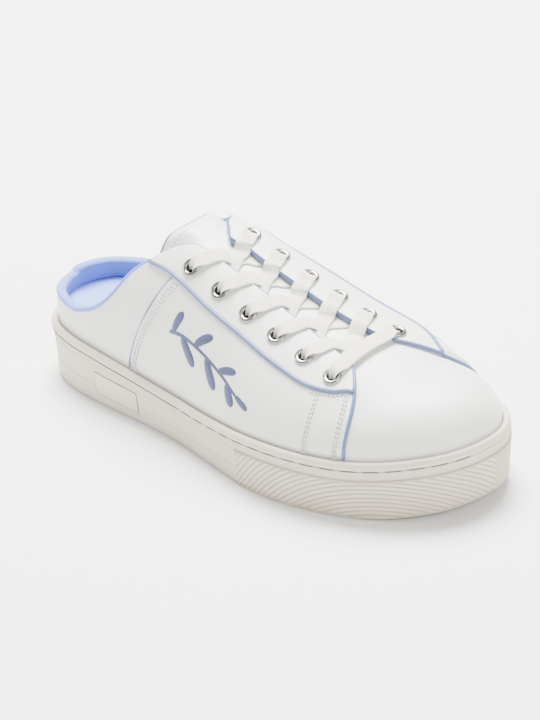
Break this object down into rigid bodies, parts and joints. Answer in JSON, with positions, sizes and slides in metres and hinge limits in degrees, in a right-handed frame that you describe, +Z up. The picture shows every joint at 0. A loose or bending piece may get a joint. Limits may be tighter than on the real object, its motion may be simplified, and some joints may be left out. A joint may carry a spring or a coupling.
{
  "type": "sneaker",
  "caption": "Low white leather lace-up sneaker for the right foot, with a thick cup sole, a low padded blue collar, metal eyelets and a flat lace.",
  "frame": {"origin": "on the floor, under the middle of the shoe's length and width", "axes": "+X to the toe, +Y to the inner side of the right foot, +Z up"},
  "size_m": [0.276, 0.1017, 0.0963],
  "materials": {
    "sole_rubber": "satin",
    "white_leather": "smooth semi-matte",
    "blue_lining": "matte",
    "cotton_lace": "woven, matte",
    "eyelet_metal": "polished",
    "plate_metal": "satin"
  },
  "bodies": {
    "root": {"cup_sole": "sole_rubber", "side_plate": "plate_metal", "insole": "blue_lining", "upper": "white_leather", "heel_collar": "blue_lining", "tongue": "white_leather", "lace_crossing_1": "cotton_lace", "lace_crossing_2": "cotton_lace", "lace_crossing_3": "cotton_lace", "lace_crossing_4": "cotton_lace", "lace_crossing_5": "cotton_lace", "lace_bar": "cotton_lace", "eyelet_outer_1": "eyelet_metal", "eyelet_outer_2": "eyelet_metal", "eyelet_outer_3": "eyelet_metal", "eyelet_outer_4": "eyelet_metal", "eyelet_outer_5": "eyelet_metal", "eyelet_outer_6": "eyelet_metal", "eyelet_inner_1": "eyelet_metal", "eyelet_inner_2": "eyelet_metal", "eyelet_inner_3": "eyelet_metal", "eyelet_inner_4": "eyelet_metal", "eyelet_inner_5": "eyelet_metal", "eyelet_inner_6": "eyelet_metal"}
  },
  "joints": []
}
